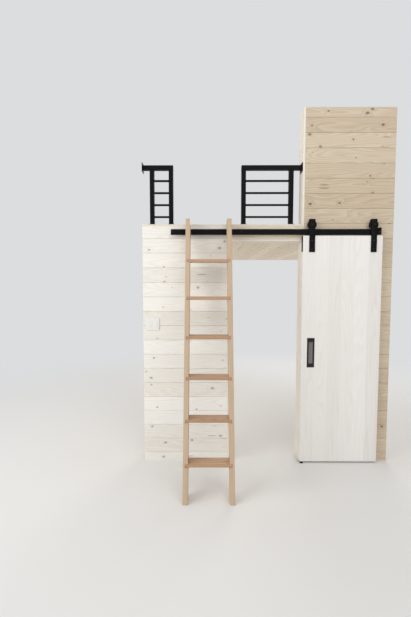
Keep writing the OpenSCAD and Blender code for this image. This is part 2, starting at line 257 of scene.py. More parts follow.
def place_group(group, **inputs):
    """Puts a group into a material, with its own values, and returns its outputs."""
    node = node_beside(inputs.values(), "ShaderNodeGroup")
    node.node_tree = group
    for name, value in inputs.items():
        feed(node.inputs[name.replace("_", " ")], value)
    return node.outputs


# %% Group: knots, one at most in each cell of a Voronoi pattern, as a round bar through the board
CELL_DEPTH = 0.3         # metres through the board, and the share of the spacing across it
KNOT_OVAL = (0.75, 0.0, 1.0)
knotty, given, made = new_group(
    "pine knots", {"Grain": None, "Spacing": 0.4, "Size": 0.008, "Share": 0.5},
    ("Knots", "Rim", "Halo", "Heart", "Tone"))
cell = xyz(given["Spacing"], CELL_DEPTH, times(given["Spacing"], CELL_DEPTH))
cells = vectors("DIVIDE", given["Grain"], cell)
nearest = put("ShaderNodeTexVoronoi", Vector=cells, Scale=1.0, Randomness=0.85).outputs
away = vectors("MULTIPLY", vectors("SUBTRACT", cells, nearest["Position"]), cell)
flat = vectors("MULTIPLY", away, KNOT_OVAL)
ragged = take("ShaderNodeTexNoise", Vector=given["Grain"], Scale=130.0, Detail=2.0)
shake = times(minus(ragged, 0.5), times(given["Size"], 0.7))
distance = plus(vectors("LENGTH", flat, out=1), shake)
lot = put("ShaderNodeSeparateColor", Color=nearest["Color"]).outputs
present = sums("LESS_THAN", lot[0], given["Share"])
radius = times(given["Size"], times_plus(lot[1], 1.1, 0.35))
reach = over(distance, radius)
ring = times(ramp(reach, 0.6, 0.95), ramp(reach, 1.25, 1.0))
heart = sums("ABSOLUTE", sums("SINE", times(reach, 8.0)))
for label, value in (("Knots", ramp(reach, 1.25, 0.75)), ("Rim", ring), ("Tone", lot[2]),
                     ("Halo", ramp(reach, 4.5, 0.9)), ("Heart", heart)):
    feed(made[label], times(present, value))
print("pine knots", len(knotty.nodes), "nodes")


# %% Group: wood figure, circles round a pith that lies below the face and wanders along the board
WANDER = 0.15            # metres that the pith drifts
SWAY, SWAY_TURNS = 0.077, 13.0
wood, given, made = new_group("wood figure", {
    "Grain": None, "Halo": 0.0, "Ring Width": 0.006, "Pith Depth": 0.07, "Stretch": 0.55},
    ("Rings", "Streaks", "Patches"))
along, through, across = put("ShaderNodeSeparateXYZ", Vector=given["Grain"]).outputs
slow = xyz(times(along, given["Stretch"]), times(through, 4.0), times(across, 4.0))
drift = take("ShaderNodeTexNoise", Vector=slow, Scale=1.0, Detail=2.5)
drift = times(minus(drift, 0.5), WANDER)
side = times(sums("SINE", times(plus(across, drift), SWAY_TURNS)), SWAY)
deep = plus(sums("FRACT", through), given["Pith Depth"])
span = sums("SQRT", plus(times(side, side), times(deep, deep)))
turn = plus(over(plus(span, drift), given["Ring Width"]), times(given["Halo"], 1.2))
wave = sums("FRACT", turn)
rings = times(ramp(wave, 0.1, 0.88), ramp(wave, 1.0, 0.9))
fibres = vectors("MULTIPLY", given["Grain"], (4.0, 260.0, 260.0))
streaks = take("ShaderNodeTexNoise", Vector=fibres, Scale=1.0, Detail=3.0, Roughness=0.6)
broad = vectors("MULTIPLY", given["Grain"], (1.3, 7.0, 7.0))
patches = take("ShaderNodeTexNoise", Vector=broad, Scale=1.0, Detail=3.0)
for label, value in (("Rings", rings), ("Streaks", streaks), ("Patches", patches)):
    feed(made[label], value)
print("wood figure", len(wood.nodes), "nodes")


# %% Group: rubbed edges
rubbed, given, made = new_group("rubbed edges", {
    "Position": None, "Edge": 0.0, "Patch Size": 0.03, "Amount": 0.5}, ("Rub", "Mottle"))
coarse = take("ShaderNodeTexNoise", Vector=given["Position"], Detail=4.0, Roughness=0.65,
              Scale=over(1.0, given["Patch Size"]))
patch = times(ramp(coarse, 0.42, 0.62), given["Edge"])
feed(made["Rub"], times(patch, given["Amount"]))
feed(made["Mottle"], coarse)


# %% [markdown]
# ## Finishes
# The boards are pale softwood under a thin white wash: grain, small brown knots and pinkish
# patches show through, and the wash sits thinner on the hard dark rings and on knots. The
# ladder is the same wood under clear oil, its treads browner. The door is washed nearly white.
# All metal is a satin black powder coat. Drawing each of these as an image would fix its scale
# and repeat it, so every finish is made of noise in the piece's own coordinates.

# %% Finish: wood
KNOT = paint(112, 84, 52)
KNOT_RIM = tuple(0.45 * level for level in KNOT[:3]) + (1.0,)


def start_finish(name):
    """A new material, its tree and its shader."""
    finish = bpy.data.materials.new(name)
    finish.use_nodes = True
    return finish, finish.node_tree, finish.node_tree.nodes["Principled BSDF"].inputs


def read(tree, name, output="Fac"):
    """An attribute of the piece."""
    return put("ShaderNodeAttribute", tree, attribute_name=name).outputs[output]


def wood_finish(name, bare, late, patch, washed, wash, rough=0.55, contrast=1.0, share=0.5,
                knot_size=0.008, knot_spacing=0.4, ring_width=0.006, stretch=0.55, relief=1.0,
                knot_wash=0.22, dashes=0.0):
    """Softwood. bare and late are its early and late wood, washed is the coat over it."""
    bare, late, patch, washed = (paint(*levels) for levels in (bare, late, patch, washed))
    finish, tree, shader = start_finish(name)
    grain, tone, edge = read(tree, "grain", "Vector"), read(tree, "tone"), read(tree, "edge")
    knots = place_group(knotty, Grain=grain, Spacing=knot_spacing, Size=knot_size, Share=share)
    figure = place_group(wood, Grain=grain, Halo=knots["Halo"], Ring_Width=ring_width,
                         Stretch=stretch)
    rings, streaks, spots = figure["Rings"], figure["Streaks"], knots["Knots"]
    body = blend_colour(times(rings, 0.62 * contrast), bare, late)
    body = blend_colour(ramp(streaks, 0.38, 0.72, 0.0, 0.42 * contrast), body, late)
    body = blend_colour(ramp(figure["Patches"], 0.45, 0.75, 0.0, 0.5), body, patch)
    body = blend_colour(times(knots["Halo"], 0.4), body, late)
    heart = blend_colour(times(knots["Tone"], 0.6), KNOT, late)
    heart = blend_colour(times(knots["Heart"], 0.35), heart, KNOT_RIM)
    body = blend_colour(spots, body, heart)
    body = blend_colour(times(knots["Rim"], 0.6), body, KNOT_RIM)
    if dashes:
        # Spike knots: the same pattern drawn out to a few short dark dashes along the grain
        drawn = vectors("MULTIPLY", grain, (0.11, 1.0, 1.0))
        spikes = place_group(knotty, Grain=drawn, Spacing=0.1, Size=0.0032, Share=dashes)
        body = blend_colour(times(spikes["Knots"], 0.85), body, KNOT_RIM)
        spots = larger(spots, spikes["Knots"])
    # The wash: a little uneven from board to board, thin on hard rings, knots and rubbed edges
    cover = ramp(tone, 0.0, 1.0, wash - 0.08, wash + 0.08, smooth=False)
    cover = minus(cover, times(rings, 0.12))
    cover = minus(cover, ramp(streaks, 0.5, 0.75, 0.0, 0.14))
    worn = place_group(rubbed, Position=grain, Edge=edge, Patch_Size=0.05, Amount=0.6)
    cover = times(cover, times_plus(spots, knot_wash - 1.0, 1.0))
    cover = times(cover, times_plus(worn["Rub"], -0.8, 1.0))
    colour = blend_colour(cover, body, washed)
    shade = ramp(tone, 0.0, 1.0, 0.94, 1.03, smooth=False)
    grey = take("ShaderNodeCombineColor", Red=shade, Green=shade, Blue=shade)
    feed(shader["Base Color"], blend_colour(1.0, colour, grey, "MULTIPLY"))
    feed(shader["Roughness"], ramp(streaks, 0.3, 0.8, rough - 0.06, rough + 0.08, smooth=False))
    if relief:
        height = minus(plus(times(rings, 0.5), streaks), times(knots["Rim"], 0.6))
        feed(shader["Normal"], take("ShaderNodeBump", Height=height, Strength=0.35 * relief,
                                    Distance=0.0008))
    shader["Specular IOR Level"].default_value = 0.35
    return finish


PINK = (212, 176, 146)
HONEY = (216, 192, 158)
wall_pine = wood_finish(
    "washed_wall_pine", (230, 217, 194), (188, 165, 135), HONEY, (243, 243, 240), 0.86,
    contrast=0.8, share=0.44, knot_spacing=0.31, knot_wash=0.5, dashes=0.09)
# The tall wall's front: the same washed pine, drawn browner and darker under a thinner wash. This
# paints the shade that the tall wall stands in.
tall_wall_shaded_pine = wood_finish(
    "shaded_washed_pine", (209, 189, 156), (170, 136, 101), PINK, (214, 205, 187), 0.58,
    share=0.48, knot_spacing=0.31, knot_wash=0.28, dashes=0.03)
trim_pine = wood_finish(
    "washed_trim_pine", (230, 212, 180), (192, 160, 120), PINK, (239, 236, 229), 0.8,
    contrast=0.8, share=0.2, knot_size=0.005)
loft_pine = wood_finish(
    "washed_loft_pine", (236, 215, 180), (194, 158, 116), PINK, (244, 237, 222), 0.64,
    share=0.6, knot_spacing=0.31, dashes=0.03)
door_pine = wood_finish(
    "washed_door_pine", (228, 217, 198), (198, 180, 158), (222, 204, 188), (240, 239, 237), 0.9,
    rough=0.5, contrast=0.65, share=0.0, ring_width=0.005, stretch=0.25, relief=0.6)
frame_fir = wood_finish(
    "rough_sawn_fir", (224, 196, 156), (182, 140, 98), PINK, (228, 206, 172), 0.15,
    rough=0.7, ring_width=0.005, relief=0)
ladder_fir = wood_finish(
    "oiled_stile_fir", (205, 180, 150), (164, 130, 98), (190, 154, 124), (211, 194, 170), 0.36,
    rough=0.45, share=0.05, knot_size=0.005, ring_width=0.0034, stretch=0.3)
tread_fir = wood_finish(
    "oiled_tread_fir", (194, 160, 127), (148, 108, 79), (178, 134, 103), (204, 176, 147), 0.2,
    rough=0.42, share=0.08, knot_size=0.006, ring_width=0.004, stretch=0.4)


# %% Finish: coated steel and plastic
def coated(name, colour, bare, rough, grit=900.0, relief=0.5, amount=0.25, shine=0.5,
           mottle=0.06):
    """A coat with a fine orange-peel grit, rubbed brighter along its edges."""
    colour, bare = paint(*colour), paint(*bare)
    finish, tree, shader = start_finish(name)
    place = put("ShaderNodeTexCoord", tree).outputs["Object"]
    worn = place_group(rubbed, Position=place, Edge=read(tree, "edge"), Patch_Size=0.02,
                       Amount=amount)
    tint = ramp(worn["Mottle"], 0.3, 0.7, 0.0, mottle, smooth=False)
    base = blend_colour(tint, colour, bare)
    feed(shader["Base Color"], blend_colour(worn["Rub"], base, bare))
    feed(shader["Roughness"],
         ramp(worn["Mottle"], 0.3, 0.7, rough - 0.05, rough + 0.07, smooth=False))
    if relief:
        peel = take("ShaderNodeTexNoise", Vector=place, Scale=grit, Detail=2.0)
        feed(shader["Normal"], take("ShaderNodeBump", Height=peel, Strength=relief,
                                    Distance=0.0001))
    shader["Specular IOR Level"].default_value = shine
    return finish


black_steel = coated("black_powder_coat", (11, 10, 12), (58, 55, 60), 0.48, shine=0.1)
wheel_black = coated("black_wheel_coat", (14, 13, 15), (72, 70, 72), 0.38, shine=0.2)
bolt_black = coated("black_oxide", (20, 19, 21), (92, 88, 86), 0.36, relief=0, shine=0.3)
pull_dark = coated("dark_pull_coat", (28, 26, 27), (82, 78, 76), 0.4, relief=0.4, shine=0.3)
pull_grey = coated("satin_tray", (124, 119, 118), (156, 152, 150), 0.34, relief=0.3)
white_plastic = coated("white_plastic", (233, 233, 230), (225, 224, 220), 0.28,
                       grit=1400.0, relief=0.1, amount=0.2, mottle=0.2)
# Dark for the cut faces of the socket's slots: the contacts at their bottom, and painted shade on
# their walls.
slot_shade_and_contacts = coated("slot_shade_and_contacts", (48, 44, 40), (110, 92, 60), 0.5, shine=0.2)
print("finishes", len([m for m in bpy.data.materials if m.use_nodes]))


# %% [markdown]
# ## Making pieces
# Most pieces have exactly the CAD's shape, but real edges are never knife sharp. So a piece
# starts as a clean copy of its CAD node, and its sharp edges are eased with a small bevel. The
# new faces are marked, so that the finish can rub them. Round and hexagonal parts are built
# from outlines that are stacked along Y and joined by faces.

# %% Helpers for pieces
SIDEWAYS, INTO, UP = (1, 0, 0), (0, 1, 0), (0, 0, 1)
draw = random.Random(7)


def settle(piece, body, slot, *nodes):
    """The piece rides on its body and stands for its CAD nodes, which it hides. slot is not used.
    """
    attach(piece, body)
    if nodes:
        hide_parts(*nodes)
    print(f"{piece.name}: {len(piece.data.polygons)} faces on {body}")
    return piece


def new_piece(name, mesh):
    """An object at the origin that shows a mesh."""
    mesh.name = name
    piece = bpy.data.objects.new(name, mesh)
    scene.collection.objects.link(piece)
    return piece


def plain_mesh(piece):
    """Puts the mesh that the piece's modifiers make in place of the piece and its modifiers."""
    bpy.context.view_layer.update()
    depsgraph = bpy.context.evaluated_depsgraph_get()
    mesh = bpy.data.meshes.new_from_object(piece.evaluated_get(depsgraph))
    piece.modifiers.clear()
    piece.data = mesh
    return piece


def shade(piece, smooth_under=50):
    """Smooth, except at sharp edges. Large faces count most, so they look flat up to the bevel."""
    piece.data.shade_smooth()
    piece.data.set_sharp_from_angle(angle=math.radians(smooth_under))
    modifier = piece.modifiers.new("weighted", "WEIGHTED_NORMAL")
    modifier.keep_sharp = True
    return plain_mesh(piece)


def baked(name, bm):
    """Turns a bmesh into a mesh."""
    mesh = bpy.data.meshes.new(name)
    bm.to_mesh(mesh)
    bm.free()
    return mesh


def finish_mesh(name, bm, *finishes):
    """Turns a bmesh into a shaded object."""
    mesh = baked(name, bm)
    for finish in finishes:
        mesh.materials.append(finish)
    return shade(new_piece(name, mesh))


def grain_frame(along, through):
    """The turn from the object's axes to grain axes, and a random place in the wood."""
    along, through = Vector(along).normalized(), Vector(through).normalized()
    shift = Vector((draw.uniform(-40, 40), draw.randint(1, 60) + 0.03, draw.uniform(-9, 9)))
    return Matrix((along, through, along.cross(through))), shift


def kind_of(name):
    """The kind of an attribute: places and directions are vectors, all others are numbers."""
    return "FLOAT_VECTOR" if name in ("grain", "shift", "aim") else "FLOAT"


def mark(mesh, name, values, domain="POINT"):
    """Writes an attribute of a mesh."""
    layer = mesh.attributes.new(name, kind_of(name), domain).data
    layer.foreach_set("vector" if kind_of(name) == "FLOAT_VECTOR" else "value", values)


def mark_grain(mesh, along, through, tone=None):
    """Gives a wooden piece its own grain coordinates and tone."""
    turn, shift = grain_frame(along, through)
    mark(mesh, "grain", [level for vertex in mesh.vertices for level in turn @ vertex.co + shift])
    tone = draw.random() if tone is None else tone
    mark(mesh, "tone", [tone] * len(mesh.vertices))


def ease(bm, width, steps=2, wanted=None):
    """Bevels the sharp edges and marks the new faces."""
    layer = bm.faces.layers.float.get("edge") or bm.faces.layers.float.new("edge")
    sharp = [e for e in bm.edges if len(e.link_faces) == 2
             and e.calc_face_angle(0) > math.radians(30) and (wanted is None or wanted(e))]
    result = bmesh.ops.bevel(bm, geom=sharp, offset=width, segments=steps, profile=0.5,
                             affect="EDGES", clamp_overlap=True)
    for face in result["faces"]:
        face[layer] = 1.0


def clean_copy(node):
    """The CAD node's shape as one closed mesh without the lines inside its flat faces."""
    bm = bmesh.new()
    bm.from_mesh(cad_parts[node].data)
    bmesh.ops.remove_doubles(bm, verts=bm.verts, dist=1e-5)
    bmesh.ops.dissolve_limit(bm, angle_limit=math.radians(1), verts=bm.verts, edges=bm.edges)
    return bm


def eased(node, body, slot, finish, width, steps=2, along=None, through=None, tone=None,
          ending="eased"):
    """A CAD node's own shape with eased edges."""
    bm = clean_copy(node)
    ease(bm, width, steps)
    piece = finish_mesh(f"{node}_{ending}", bm, finish)
    if along:
        mark_grain(piece.data, along, through, tone)
    return settle(piece, body, slot, node)


def block(bm, low, high):
    """Adds a box between two corners to a bmesh and returns its vertices."""
    corners = bmesh.ops.create_cube(bm, size=1)["verts"]
    low, high = Vector(low), Vector(high)
    for vertex in corners:
        vertex.co = (low + high) / 2 + vertex.co * (high - low)
    return corners


# %% Outlines
def outline(radius, level, corners=0, steps=24, centre=(0, 0)):
    """Points around Y at one level: a circle, or a polygon with that many corners."""
    points = []
    for k in range(steps):
        angle = 2 * math.pi * k / steps
        reach = radius
        if corners:
            half = math.pi / corners
            reach = radius * math.cos(half) / math.cos(angle % (2 * half) - half)
        points.append(Vector((centre[0] + reach * math.cos(angle), level,
                              centre[1] + reach * math.sin(angle))))
    return points


def stack(bm, outlines, closed=False):
    """Joins outlines of equal length by faces, and caps both ends unless they form a ring."""
    rows = [[bm.verts.new(point) for point in points] for points in outlines]
    pairs = list(zip(rows, rows[1:])) + ([(rows[-1], rows[0])] if closed else [])
    faces = []
    for low_row, high_row in pairs:
        for k in range(len(low_row)):
            n = (k + 1) % len(low_row)
            faces.append(bm.faces.new((low_row[k], low_row[n], high_row[n], high_row[k])))
    if not closed:
        faces += [bm.faces.new(rows[0]), bm.faces.new(rows[-1])]
    bmesh.ops.recalc_face_normals(bm, faces=faces)
    return faces


# %% [markdown]
# ## Boards
# The partition, the loft floor and its soffit are lined with the same tongue-and-groove
# boards, 130 mm wide on the face. Each could be modelled by hand, but a rule is truer: a
# Geometry Nodes tree takes one pattern board, works out the level of each course, cuts the
# first and last to fit and gives every board its own grain and tone. So the joints run level
# on both sides of the doorway, as they do in the photograph.

# %% Geometry Nodes helpers
def new_tree(name, inputs):
    """A Geometry Nodes tree with named inputs after its geometry."""
    tree, given, made = new_group(name, {"Geometry": None, **inputs}, ["Geometry"],
                                  "GeometryNodeTree")
    tree.is_modifier = True
    return tree, given, made


def store(geometry, name, value):
    """Writes a named attribute."""
    return take("GeometryNodeStoreNamedAttribute", data_type=kind_of(name),
                Geometry=geometry, Name=name, Value=value)


def stored(tree, name):
    """Reads a named attribute."""
    return take("GeometryNodeInputNamedAttribute", tree, data_type=kind_of(name), Name=name)


def lots(kind, seed, low=None, high=None):
    """A random value for each element, from 0 to 1 unless a range is given."""
    return take("FunctionNodeRandomValue", data_type=kind, Min=low, Max=high, Seed=seed)


def random_shift(seed):
    """A random place in the wood. Whole steps in Y keep a board's face near the pith's level."""
    slide = lots("FLOAT_VECTOR", seed, (-40, 0, -9), (40, 0, 9))
    return vectors("ADD", slide, xyz(y=lots("INT", plus(seed, 13.0), 1, 60)))


def moved(geometry, **inputs):
    """Moves points to a position, or by an offset."""
    return take("GeometryNodeSetPosition", Geometry=geometry, **inputs)


def real(geometry):
    """Turns instances into meshes."""
    return take("GeometryNodeRealizeInstances", Geometry=geometry)


def grained(tree, geometry):
    """Gives meshes their grain coordinates."""
    place = take("GeometryNodeInputPosition", tree)
    return store(geometry, "grain", vectors("ADD", place, stored(tree, "shift")))


def finish_tree(made, geometry, material):
    """Sets the material and ends the tree."""
    feed(made[0], take("GeometryNodeSetMaterial", Geometry=geometry, Material=material))


# %% Geometry Nodes: laid boards
PITCH = 0.1305
NARROWEST = 0.004
lay, given, made = new_tree("laid boards", {
    "Length": 1.0, "Bottom": 0.0, "Top": 1.0, "Joint Level": 0.0, "Pitch": PITCH,
    "Board Width": PITCH, "Seed": 1, "Material": None})
bottom, top, pitch, width = (given[name] for name in ("Bottom", "Top", "Pitch", "Board Width"))
first = sums("FLOOR", over(minus(bottom, given["Joint Level"]), pitch))
count = sums("CEIL", over(minus(top, bottom), pitch))
rows = take("GeometryNodeMeshLine", Count=plus(count, 1.0))
index = take("GeometryNodeInputIndex", lay)
course = times_plus(plus(index, first), pitch, given["Joint Level"])
spot = xyz(times(given["Length"], 0.5), z=times_plus(width, 0.5, course))
shown = minus(smaller(plus(course, width), top), larger(course, bottom))
rows = moved(store(rows, "shown", shown), Position=spot)
thin = take("FunctionNodeCompare", data_type="FLOAT", operation="LESS_THAN",
            A=stored(lay, "shown"), B=NARROWEST)
rows = take("GeometryNodeDeleteGeometry", Geometry=rows, Selection=thin)
rows = store(rows, "tone", lots("FLOAT", given["Seed"]))
rows = store(rows, "shift", random_shift(plus(given["Seed"], 7.0)))
boards = take("GeometryNodeInstanceOnPoints", Points=rows, Instance=given["Geometry"],
              Scale=xyz(given["Length"], 1.0, 1.0))
# The first and last courses are cut: whatever stands past the field is pressed onto its edge
x, y, z = put("ShaderNodeSeparateXYZ", Vector=take("GeometryNodeInputPosition", lay)).outputs
cut = xyz(x, y, larger(smaller(z, top), bottom))
finish_tree(made, grained(lay, moved(real(boards), Position=cut)), given["Material"])
print("laid boards", len(lay.nodes), "nodes")


# %% Using a tree
def apply_tree(mesh, tree, values):
    """Runs a Geometry Nodes tree on a mesh and returns the plain mesh that it makes."""
    mesh.materials.append(values["Material"])
    holder = new_piece("holder", mesh)
    modifier = holder.modifiers.new("tree", "NODES")
    modifier.node_group = tree
    sockets = {item.name: item.identifier for item in tree.interface.items_tree
               if item.in_out == "INPUT"}
    for label, value in values.items():
        modifier[sockets[label]] = value
    result = plain_mesh(holder).data
    bpy.data.objects.remove(holder)
    return result


def one_piece(name, meshes):
    """Joins plain meshes of one finish into an object, less the faces that a cut flattened."""
    bm = bmesh.new()
    for mesh in meshes:
        bm.from_mesh(mesh)
    bmesh.ops.dissolve_degenerate(bm, dist=1e-5, edges=bm.edges)
    joined = baked(name, bm)
    joined.materials.append(meshes[0].materials[0])
    return new_piece(name, joined)


# %% A pattern board: tongue above, groove below, and a fine bevel along its face
GAP, BEVEL = 0.0012, 0.0015
GROOVE_DEPTH, TONGUE_REACH = 0.0065, 0.004


def pattern_board(thickness, face_up):
    """One metre of board, on its middle. Its face looks along -Y, or along +Y if face_up."""
    half = (PITCH - GAP) / 2
    groove, tongue = half - GROOVE_DEPTH, half + GAP + TONGUE_REACH
    side = [(0, BEVEL - half), (BEVEL, -half), (thickness / 3, -half), (thickness / 3, -groove),
            (thickness * 2 / 3, -groove), (thickness * 2 / 3, -half), (thickness, -half),
            (thickness, half), (thickness * 0.62, half), (thickness * 0.6, tongue),
            (thickness * 0.4, tongue), (thickness * 0.38, half), (BEVEL, half), (0, half - BEVEL)]
    bm = bmesh.new()
    layer = bm.faces.layers.float.new("edge")
    faces = stack(bm, [[(x, thickness - y if face_up else y, z) for y, z in side]
                       for x in (-0.5, 0.5)])
    for k in (0, len(side) - 2):
        faces[k][layer] = 1.0
    return baked("pattern_board", bm)


def lay_out(pattern, length, bottom, top, joint, pitch, width, finish, seed, place):
    """Boards or studs as a plain mesh, moved to their place by a matrix."""
    mesh = apply_tree(pattern, lay, {
        "Length": length, "Bottom": bottom, "Top": top, "Joint Level": joint, "Pitch": pitch,
        "Board Width": width, "Seed": seed, "Material": finish})
    mesh.transform(place)
    return mesh


def lay_boards(length, bottom, top, joint, thickness, face_up, finish, seed, place):
    """A field of boards."""
    return lay_out(pattern_board(thickness, face_up), length, bottom, top, joint, PITCH, PITCH,
                   finish, seed, place)


# %% Partition: boards on both faces, the tall wall in two lifts that meet in a joint
JOINT = 2.036            # the level of a joint that shows in the photograph
BOARD = 0.018
# The tall wall's front takes the darker copy of the wall pine, which paints its shade.
FRONTS = {"wall_left": wall_pine, "doorway_header": loft_pine, "wall_right": tall_wall_shaded_pine}
LIFT = JOINT + PITCH
wall_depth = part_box("wall_left")[1].y
header_low, header_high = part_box("doorway_header")
LIFTS = [("wall_left", "", 0.0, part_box("wall_left")[1].z),
         ("doorway_header", "", header_low.z, header_high.z),
         ("wall_right", "", 0.0, LIFT), ("wall_right", "_above", LIFT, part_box("wall_right")[1].z)]
for number, (node, lift, bottom, top) in enumerate(LIFTS):
    low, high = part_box(node)
    joint = JOINT if node != "doorway_header" else bottom
    for back in range(2):
        pine = wall_pine if back else FRONTS[node]
        field = lay_boards(high.x - low.x, bottom, top, joint, BOARD, bool(back), pine,
                           34 + 7 * number + 3 * back,
                           Matrix.Translation((low.x, back * (wall_depth - BOARD), 0)))
        piece = one_piece(f"{node}_{('front', 'back')[back]}_boards{lift}", [field])
        settle(piece, HOUSE, "wall_pine", *([] if back or lift else [node]))


# %% [markdown]
# ## The framing inside the partition
# The boards are nailed to 38 by 89 mm studs and plates, which show only at the cut ends of the
# part. The same tree spaces them: its pattern is then one metre of square-edged stud.

# %% Studs and plates
STUD = 0.038
STUD_PITCH = 0.4
CORE = wall_depth - 2 * BOARD
UPRIGHT = Matrix(((0, 0, 1, 0), (0, 1, 0, 0), (-1, 0, 0, 0), (0, 0, 0, 1)))


def pattern_stud():
    """One metre of stud on its middle."""
    bm = bmesh.new()
    block(bm, (-0.5, 0, -STUD / 2), (0.5, CORE, STUD / 2))
    ease(bm, 0.002, 2, lambda e: abs((e.verts[0].co - e.verts[1].co).x) > 0.5)
    return baked("pattern_stud", bm)


def lay_studs(length, bottom, top, seed, place):
    """Studs at their spacing from bottom, the last one ending at top."""
    return [lay_out(pattern_stud(), length, start, end, start, STUD_PITCH, STUD, frame_fir,
                    seed + extra, place)
            for start, end, extra in ((bottom, top - STUD, 0), (top - STUD, top, 1))]


for number, (node, lift, bottom, top) in enumerate(LIFTS):
    if node == "doorway_header":
        continue
    low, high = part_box(node)
    length, height = high.x - low.x, top - bottom
    flat = Matrix.Translation((low.x, BOARD, bottom))
    plates = lay_studs(length, 0, STUD, 50 + number, flat)[1:]
    plates += lay_studs(length, height - STUD, height, 54 + number, flat)[1:]
    stand = Matrix.Translation((low.x, BOARD, top - STUD)) @ UPRIGHT
    studs = lay_studs(height - 2 * STUD, 0, length, 60 + 2 * number, stand)
    settle(one_piece(f"{node}_studs{lift}", plates + studs), HOUSE, "framing_fir")


# %% [markdown]
# ## Loft floor
# Floor boards and soffit boards run from front to back, across the joists. Seen through the
# doorway the soffit's joints run towards the rear, as in the photograph. The floor is laid as
# two fields, because the tall wall stands in its right front corner.

# %% Deck and soffit
DEEPWARD = Matrix(((0, 0, 1, 0), (1, 0, 0, 0), (0, 1, 0, 0), (0, 0, 0, 1)))


def lay_level(x0, x1, y0, y1, z, thickness, face_up, seed):
    """Boards that lie flat and run along Y."""
    place = Matrix.Translation((0, y0, z)) @ DEEPWARD
    return lay_boards(y1 - y0, x0, x1, 0, thickness, face_up, loft_pine, seed, place)


low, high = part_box("loft_deck")
doorway_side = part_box("jamb_right")[0].x
deck = [lay_level(0, doorway_side, low.y, high.y, low.z, BOARD, True, 61),
        lay_level(doorway_side, high.x, wall_depth, high.y, low.z, BOARD, True, 63)]
settle(one_piece("loft_deck_boards", deck), HOUSE, "loft_pine", "loft_deck")
low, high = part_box("soffit")
soffit = lay_level(0, high.x, low.y, high.y, low.z, high.z - low.z, False, 67)
settle(one_piece("soffit_boards", [soffit]), HOUSE, "loft_pine", "soffit")

# %% Joists and ledgers
for node, along, through in (("loft_joists", SIDEWAYS, INTO), ("ledger_left", INTO, SIDEWAYS),
                             ("ledger_right", INTO, SIDEWAYS), ("ledger_rear", SIDEWAYS, INTO)):
    eased(node, HOUSE, "framing_fir", frame_fir, 0.003, 2, along, through)

# %% Linings, nosing and end trim
for node, along, through, width in (
        ("jamb_left", UP, SIDEWAYS, 0.0015), ("jamb_right", UP, SIDEWAYS, 0.0015),
        ("head_lining", SIDEWAYS, UP, 0.0015), ("wall_end_trim", UP, SIDEWAYS, 0.0015),
        ("loft_nosing", SIDEWAYS, UP, 0.003)):
    eased(node, HOUSE, "trim_pine", trim_pine, width, 3, along, through, ending="planed")


# %% [markdown]
# ## Ladder
# Two planed stiles lean on the track's bar. Each tread is a flat board let into a housing in
# each stile, so its end shows at the stile's front edge as in the photograph. The grain of a
# stile follows its lean, not the upright axis, so the direction is measured from the CAD.

# %% Stiles and treads
STILE_RUN = 0.1174       # a stile's depth, measured level
low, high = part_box("ladder_stile_left")
lean = Vector((0, high.y - low.y - STILE_RUN, high.z - low.z)).normalized()
for side, tone in zip(SIDES, (0.55, 0.4)):
    eased(f"ladder_stile_{side}", HOUSE, "ladder_fir", ladder_fir, 0.003, 3, lean, SIDEWAYS, tone)
treads = [f"ladder_tread_{step}" for step in range(1, 7)]
for node in treads:
    eased(node, HOUSE, "tread_fir", tread_fir, 0.003, 3, SIDEWAYS, UP)


# %% [markdown]
# ## Guards
# Square tube and square bar, welded and coated. Posts stand on foot plates on the loft floor,
# and each top rail ends in a plate that is screwed to a wall. A weld is a thin uneven rope of
# metal round the joint, so a tree sweeps a small circle along each joint's outline and lets
# noise push it about.

# %% Tube, bars and plates
GUARDS = {"wall_post": (0.003, 3), "gap_post": (0.003, 3), "top_rail": (0.003, 3),
          "bars": (0.0012, 2), "flange": (0.0012, 2)}
for side in SIDES:
    for part, (width, steps) in GUARDS.items():
        eased(f"{side}_guard_{part}", HOUSE, "black_steel", black_steel, width, steps,
              ending="coated")

# %% Geometry Nodes: weld beads
WELD = {"Bead Radius": 0.0016, "Step": 0.0035, "Unevenness": 0.0006, "Seed": 3}
weld, given, made = new_tree("weld beads", {**WELD, "Material": None})
path = take("GeometryNodeMeshToCurve", Mesh=given["Geometry"])
path = take("GeometryNodeResampleCurve", mode="LENGTH", Curve=path, Length=given["Step"])
spread = times(given["Unevenness"], 0.5)
shove = lots("FLOAT_VECTOR", given["Seed"], (-1, -1, -1), (1, 1, 1))
path = moved(path, Offset=vectors("MULTIPLY", shove, spread))
ring = take("GeometryNodeCurvePrimitiveCircle", Resolution=6, Radius=given["Bead Radius"])
bead = take("GeometryNodeCurveToMesh", Curve=path, Profile_Curve=ring)
finish_tree(made, real(bead), given["Material"])


# %% Beads round every welded joint
def joint_line(bm, centre, axis, half):
    """A closed square of edges around a joint, across an axis: 0 for X, 2 for Z."""
    a, b = [k for k in range(3) if k != axis]
    corners = []
    for sign_a, sign_b in ((-1, -1), (1, -1), (1, 1), (-1, 1)):
        point = Vector(centre)
        point[a] += sign_a * half
        point[b] += sign_b * half
        corners.append(bm.verts.new(point))
    for k in range(4):
        bm.edges.new((corners[k], corners[(k + 1) % 4]))


